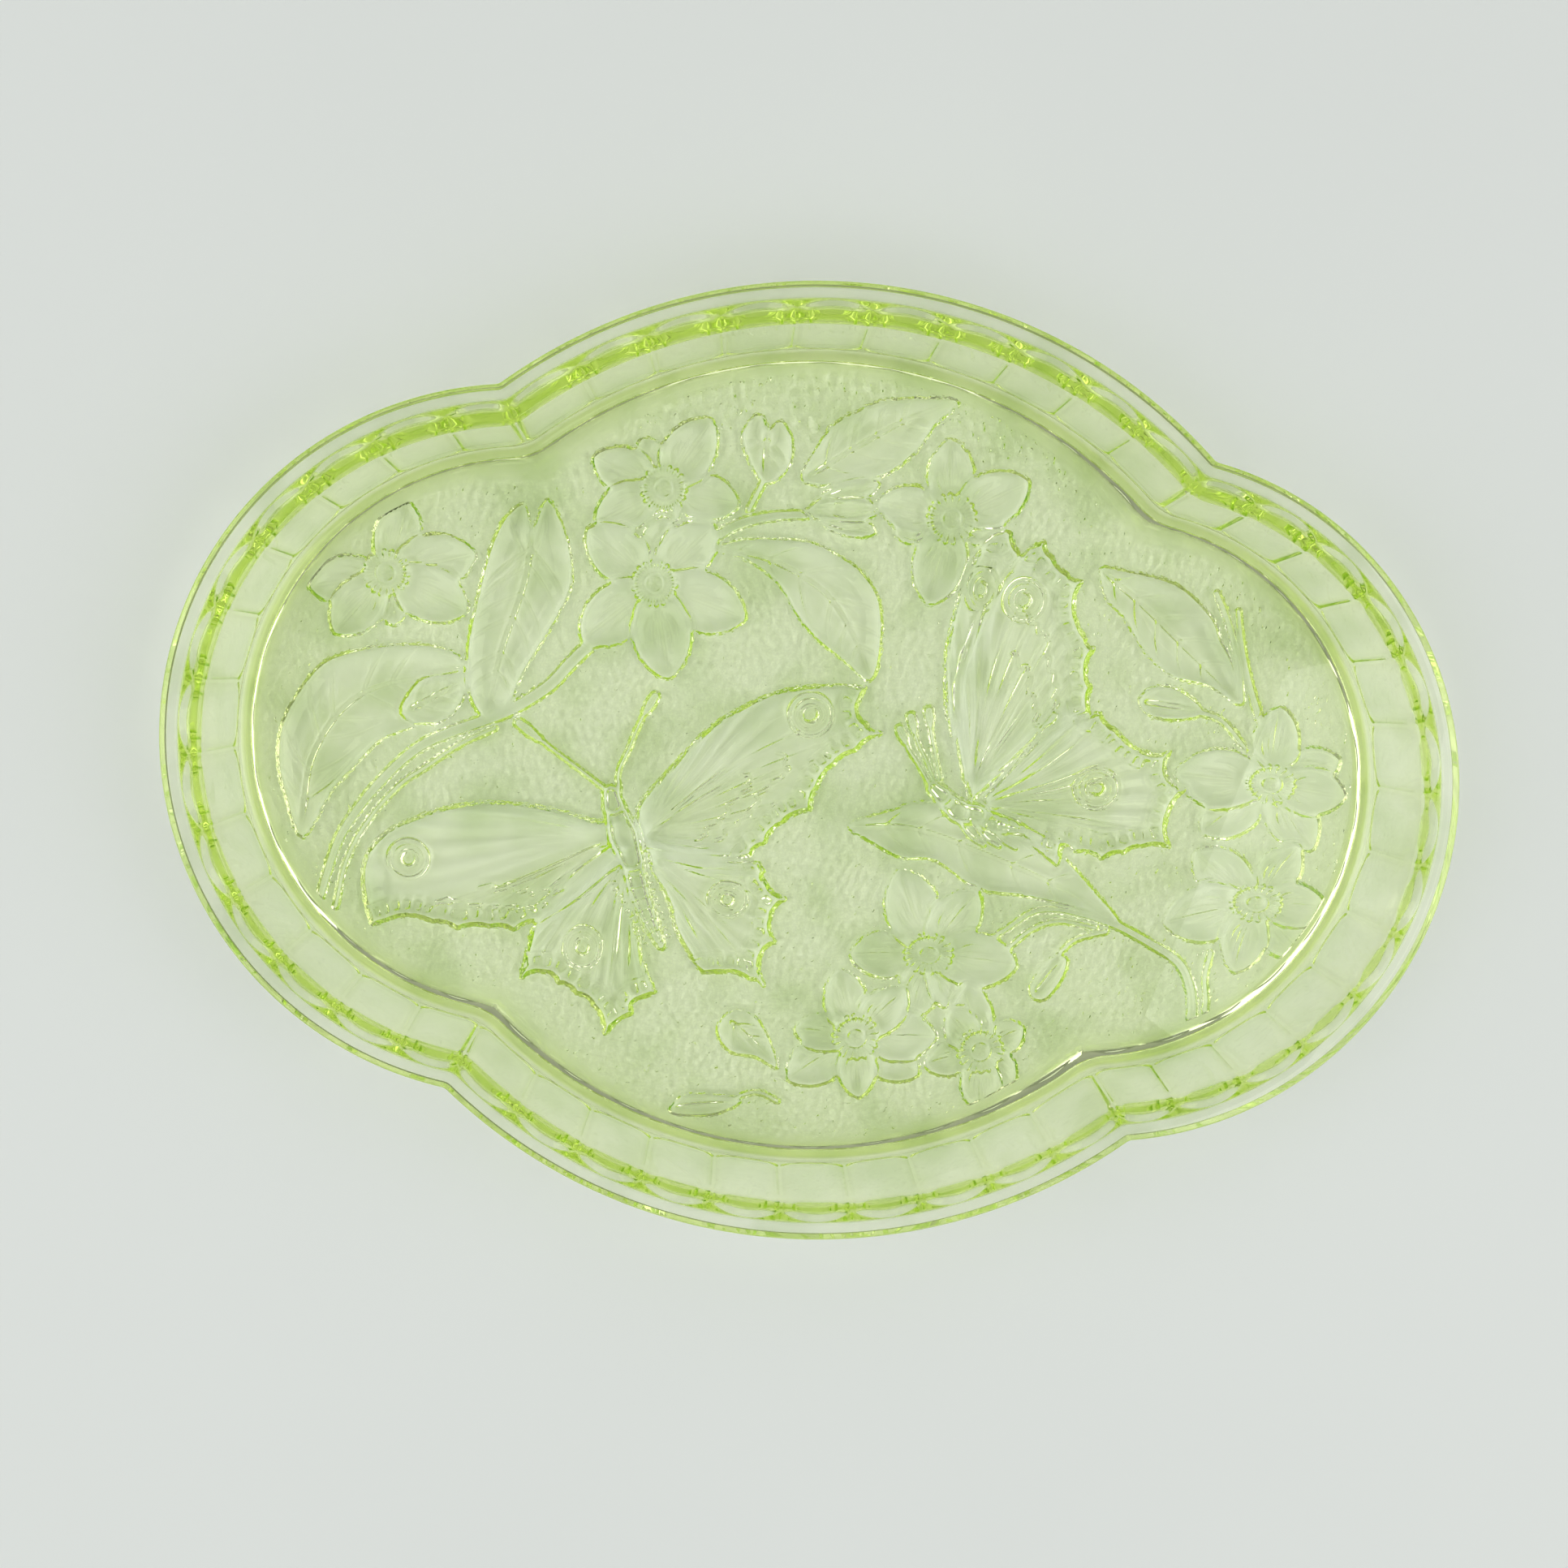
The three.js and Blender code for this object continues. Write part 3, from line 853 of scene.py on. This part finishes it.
def closed_butterfly(work):
    """Seen from the side with its wings held up."""
    wing(work, [(38.3, 0), (35.5, 8), (32, 17), (30.2, 28), (30.4, 38), (32, 48), (35, 58), (39, 63.5)],
         jagged([(43, 65), (46, 60), (50, 61)], -1.2),
         [(50, 60), (46, 40), (43, 20), (40, 2)], (38.5, 0), 4)
    eyespot(work, (37.3, 50), 4.2, 1.4)
    wing(work, [(46, -9), (52.5, -11.7), (58, -14.5), (65.4, -19.6)],
         jagged([(66, -14.5), (70, -15.8), (77.5, -17), (83, -15), (88, -12.8), (95, -12.5), (93, -5),
                 (96.7, 3), (91.5, 6.5), (91.7, 12.5), (85, 11.9), (76.7, 17), (72, 21)], 1.4),
         [(70, 20.4), (60, 16.5), (44, -4)], (43, -6), 8)
    wing(work, [(38.6, 0.5), (36.4, 9), (35, 18), (34.6, 27), (36.7, 37), (40.5, 48), (45.5, 56),
                (49, 62)],
         jagged([(52, 63.6), (54.5, 60), (59, 56), (63, 54.6), (61.8, 47.5), (65.8, 40), (68.3, 37.5),
                 (66.9, 32), (68.8, 27.5), (68.6, 22.5)], -1.4),
         [(69, 20.8), (58, 15.5), (47, 2), (41, -5)], (40, -2), 8, rows=((0.55, 4.8), (0.72, 4.4)))
    eyespot(work, (48.8, 48.3), 5.4)
    eyespot(work, (73.8, 1.2), 6.0, 0.9)
    antenna(work, [(30.5, -1), (28, 4), (24.5, 10), (22.5, 15.5)])
    antenna(work, [(32, 0), (30, 6), (28.2, 12), (27, 17.5)])
    antenna(work, [(29.5, -2), (26, 3), (22.5, 7.5), (20, 12)])
    body(work, [(42, -8), (48, -10.8), (55, -11.5)], (4.6, 4.2, 1.8), 5)
    body(work, [(33.5, -5), (38, -8), (43, -8.5)], (4.8, 6.2, 4.8), 2)
    body(work, [(30.6, -2.6), (33, -4.4)], (3.8, 4.6), 0)
    for x in (38, 42, 46.5):
        stem(work, [(x, -10.5), (x + 3.5, -14.5), (x + 7.5, -16.5)], 1.1)


def relief(x, y):
    """How far the floor's underside is pressed up into the glass."""
    work = Pressing(x, y)
    right_leaves(work)
    left_leaves(work)
    top_leaves(work)
    flowers(work)
    closed_butterfly(work)
    open_butterfly(work)
    # mould marks, stronger on the ground than on the shapes
    marks = np.random.default_rng(11).normal(0, 1, x.shape)
    height = work.height + marks * (0.006 + 0.018 * work.ground)
    return np.clip(height, LOWEST, HIGHEST), work.ground


def grid_cells(x, y):
    """Which cells of the grid lie inside the ground's line, and which points they use."""
    keep = inside_ground(x, y, GRID_MARGIN)
    cell = keep[:-1, :-1] & keep[1:, :-1] & keep[1:, 1:] & keep[:-1, 1:]
    used = np.zeros_like(keep)
    used[:-1, :-1] |= cell
    used[1:, :-1] |= cell
    used[1:, 1:] |= cell
    used[:-1, 1:] |= cell
    return cell, used


def outer_edges(cell, index):
    """The sides of the cells that have no neighbour there."""
    edges = []
    padded = np.pad(cell, 1)
    sides = (
        (-1, 0, (0, 0), (0, 1)),
        (1, 0, (1, 0), (1, 1)),
        (0, -1, (0, 0), (1, 0)),
        (0, 1, (0, 1), (1, 1)),
    )
    for di, dj, a, b in sides:
        beside = padded[1 + di:padded.shape[0] - 1 + di, 1 + dj:padded.shape[1] - 1 + dj]
        i, j = np.nonzero(cell & ~beside)
        edges.append(np.column_stack([index[i + a[0], j + a[1]], index[i + b[0], j + b[1]]]))
    return np.concatenate(edges)


def join_to_ring(ring, edges, place_of, in_cell):
    """Triangles between the ring and the grid's outer edges, facing down."""
    border = np.unique(edges)
    places = [Vector(p) for p in ring] + [Vector(place_of(k)) for k in border]
    where = {int(k): len(ring) + n for n, k in enumerate(border)}
    loops = [(n, (n + 1) % len(ring)) for n in range(len(ring))]
    loops += [(where[int(a)], where[int(b)]) for a, b in edges]
    out, _, triangles, origin, _, _ = delaunay_2d_cdt(places, loops, [], 1, 1e-6, True)
    to_mesh = np.array([(o[0] if o[0] < len(ring) else border[o[0] - len(ring)]) for o in origin])
    flat = np.array([p[:] for p in out])
    tri = np.array([t for t in triangles])
    middle = flat[tri].mean(axis=1)
    tri = tri[~in_cell(middle) & inside_ground(middle[:, 0], middle[:, 1], 0)]
    a, b, c = flat[tri[:, 0]], flat[tri[:, 1]], flat[tri[:, 2]]
    area = (b[:, 0] - a[:, 0]) * (c[:, 1] - a[:, 1]) - (b[:, 1] - a[:, 1]) * (c[:, 0] - a[:, 0])
    tri = np.where(area[:, None] > 0, tri[:, ::-1], tri)
    return to_mesh[tri]


def underside(ring, first):
    """A grid over the ground, and the band of triangles that joins it to the ring round it."""
    xs = np.arange(-GRID_REACH_X, GRID_REACH_X + GRID, GRID)
    ys = np.arange(-GRID_REACH_Y, GRID_REACH_Y + GRID, GRID)
    x, y = np.meshgrid(xs, ys, indexing="ij")
    cell, used = grid_cells(x, y)
    index = np.full(used.shape, -1)
    index[used] = np.arange(used.sum()) + first
    pressed, ground = relief(x[used], y[used])
    verts = np.column_stack([x[used], y[used], RECESS_Z + pressed])
    i, j = np.nonzero(cell)
    faces = np.column_stack([index[i, j], index[i, j + 1], index[i + 1, j + 1], index[i + 1, j]])

    def in_cell(places):
        ci = np.floor((places[:, 0] - xs[0]) / GRID).astype(int)
        cj = np.floor((places[:, 1] - ys[0]) / GRID).astype(int)
        return cell[np.clip(ci, 0, cell.shape[0] - 1), np.clip(cj, 0, cell.shape[1] - 1)]

    band = join_to_ring(ring, outer_edges(cell, index), lambda k: verts[k - first, 0:2], in_cell)
    return verts, faces, band, ground


def ground_grain(nodes, links, place, patterned):
    """A fine bump, on the patterned ground only."""
    grain = nodes.new("ShaderNodeTexVoronoi")
    grain.inputs["Scale"].default_value = 900
    links.new(place.outputs["Object"], grain.inputs["Vector"])
    bump = nodes.new("ShaderNodeBump")
    bump.inputs["Distance"].default_value = 0.0003
    links.new(grain.outputs["Distance"], bump.inputs["Height"])
    links.new(patterned.outputs["Fac"], bump.inputs["Strength"])
    return bump.outputs["Normal"]


def ground_roughness(nodes, links, patterned):
    """Polished glass, a little rougher on the patterned ground."""
    rough = nodes.new("ShaderNodeMath")
    rough.operation = "MULTIPLY_ADD"
    links.new(patterned.outputs["Fac"], rough.inputs[0])
    rough.inputs[1].default_value = 0.03
    rough.inputs[2].default_value = 0.0
    return rough.outputs["Value"]


def painted_shade_patches(nodes, links, place):
    """Soft random patches that pass a little less light than the clear glass round them: painted shade, for
    the blotchy shadow, reflections and caustics seen through the floor.
    """
    cloud = nodes.new("ShaderNodeTexNoise")
    cloud.inputs["Scale"].default_value = 55
    cloud.inputs["Detail"].default_value = 3
    links.new(place.outputs["Object"], cloud.inputs["Vector"])
    spread = nodes.new("ShaderNodeMapRange")
    spread.inputs["From Min"].default_value = 0.48
    spread.inputs["From Max"].default_value = 0.68
    links.new(cloud.outputs["Fac"], spread.inputs["Value"])
    tint = nodes.new("ShaderNodeMix")
    tint.data_type = "RGBA"
    tint.inputs["A"].default_value = (1, 1, 1, 1)
    tint.inputs["B"].default_value = PAINTED_SHADE_TINT
    links.new(spread.outputs["Result"], tint.inputs["Factor"])
    return tint.outputs["Result"]


def glass_material():
    material = bpy.data.materials.new("uranium_glass")
    material.use_nodes = True
    nodes = material.node_tree.nodes
    links = material.node_tree.links
    place = nodes.new("ShaderNodeTexCoord")
    patterned = nodes.new("ShaderNodeAttribute")
    patterned.attribute_name = "patterned"
    shader = nodes["Principled BSDF"]
    shader.inputs["Base Color"].default_value = (1, 1, 1, 1)
    shader.inputs["Transmission Weight"].default_value = 1.0
    shader.inputs["IOR"].default_value = GLASS_IOR
    # Painted glow: the whole glass glows faintly green, for its fluorescence and to brighten its green
    # edges.
    shader.inputs["Emission Color"].default_value = PAINTED_GLOW_COLOUR
    shader.inputs["Emission Strength"].default_value = PAINTED_GLOW_STRENGTH
    links.new(ground_grain(nodes, links, place, patterned), shader.inputs["Normal"])
    links.new(ground_roughness(nodes, links, patterned), shader.inputs["Roughness"])
    # painted shade: soft darker patches in the glass's colour
    links.new(painted_shade_patches(nodes, links, place), shader.inputs["Base Color"])
    absorb = nodes.new("ShaderNodeVolumeAbsorption")
    absorb.inputs["Color"].default_value = ABSORB_COLOUR
    absorb.inputs["Density"].default_value = ABSORB_DENSITY
    links.new(absorb.outputs["Volume"], nodes["Material Output"].inputs["Volume"])
    return material


def floor_material():
    material = bpy.data.materials.new("pale_paper")
    material.use_nodes = True
    nodes = material.node_tree.nodes
    links = material.node_tree.links
    shader = nodes["Principled BSDF"]
    place = nodes.new("ShaderNodeTexCoord")
    cloud = nodes.new("ShaderNodeTexNoise")
    cloud.inputs["Scale"].default_value = 9
    links.new(place.outputs["Object"], cloud.inputs["Vector"])
    tone = nodes.new("ShaderNodeMix")
    tone.data_type = "RGBA"
    tone.inputs["A"].default_value = PAPER_DARK
    tone.inputs["B"].default_value = PAPER_LIGHT
    links.new(cloud.outputs["Fac"], tone.inputs["Factor"])
    links.new(tone.outputs["Result"], shader.inputs["Base Color"])
    shader.inputs["Roughness"].default_value = 0.9
    shader.inputs["Specular IOR Level"].default_value = 0.2
    return material


def build_floor():
    bpy.ops.mesh.primitive_plane_add(size=PAPER_SIZE, location=(0, 0, -PAPER_DROP))
    plane = bpy.context.object
    plane.name = "pale_floor"
    plane.data.materials.append(floor_material())


def build_world():
    world = bpy.data.worlds.new("studio")
    world.use_nodes = True
    nodes = world.node_tree.nodes
    links = world.node_tree.links
    background = nodes["Background"]
    place = nodes.new("ShaderNodeTexCoord")
    split = nodes.new("ShaderNodeSeparateXYZ")
    blend = nodes.new("ShaderNodeValToRGB")
    links.new(place.outputs["Generated"], split.inputs[0])
    links.new(split.outputs["Z"], blend.inputs[0])
    blend.color_ramp.elements[0].position = 0.0
    blend.color_ramp.elements[0].color = HORIZON_TONE
    blend.color_ramp.elements[1].position = 0.55
    blend.color_ramp.elements[1].color = HIGH_TONE
    low = blend.color_ramp.elements.new(0.16)
    low.color = LOW_TONE
    links.new(blend.outputs[0], background.inputs["Color"])
    background.inputs["Strength"].default_value = STUDIO_STRENGTH
    bpy.context.scene.world = world


def area_light(name, place, size, power):
    """A soft lamp that points at the middle of the dish."""
    data = bpy.data.lights.new(name, "AREA")
    data.shape = "RECTANGLE"
    data.size = size[0]
    data.size_y = size[1]
    data.energy = power
    lamp = bpy.data.objects.new(name, data)
    lamp.location = place
    towards_dish = Vector((0, 0, 0)) - Vector(place)
    lamp.rotation_euler = towards_dish.to_track_quat("-Z", "Y").to_euler()
    bpy.context.scene.collection.objects.link(lamp)


def build_lights():
    area_light("soft_left", (-1.1, -0.3, 0.9), (1.5, 1.5), 11)
    area_light("soft_right", (1.1, -0.3, 0.9), (1.5, 1.5), 11)
    area_light("soft_back", (0, 1.3, 0.9), (1.2, 0.8), 2.5)


def build_camera():
    data = bpy.data.cameras.new("camera")
    data.sensor_width = 36
    data.lens = CAMERA_LENS
    data.clip_start = 0.01
    camera = bpy.data.objects.new("camera", data)
    forward = Vector(CAMERA_FORWARD).normalized()
    right = forward.cross(Vector(CAMERA_UP)).normalized()
    up = right.cross(forward)
    turn = Matrix((right, up, -forward)).transposed().to_4x4()
    camera.matrix_world = Matrix.Translation(Vector(CAMERA_PLACE) * MM) @ turn
    bpy.context.scene.collection.objects.link(camera)
    bpy.context.scene.camera = camera


def set_quality():
    scene = bpy.context.scene
    scene.view_settings.view_transform = "Standard"
    scene.view_settings.look = "None"
    scene.cycles.max_bounces = 32
    scene.cycles.transmission_bounces = 32
    scene.cycles.glossy_bounces = 16
    scene.cycles.diffuse_bounces = 4
    scene.cycles.volume_bounces = 0
    scene.cycles.caustics_reflective = True
    scene.cycles.caustics_refractive = True
    scene.cycles.blur_glossy = 0.0
    scene.cycles.sample_clamp_indirect = 8
    scene.cycles.use_denoising = True
    scene.cycles.denoising_prefilter = "ACCURATE"
    scene.cycles.use_adaptive_sampling = False


dish = build_dish()
dish.data.materials.append(glass_material())
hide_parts("glass_dish")
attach(dish, "root")

build_floor()
build_world()
build_lights()
build_camera()
set_quality()
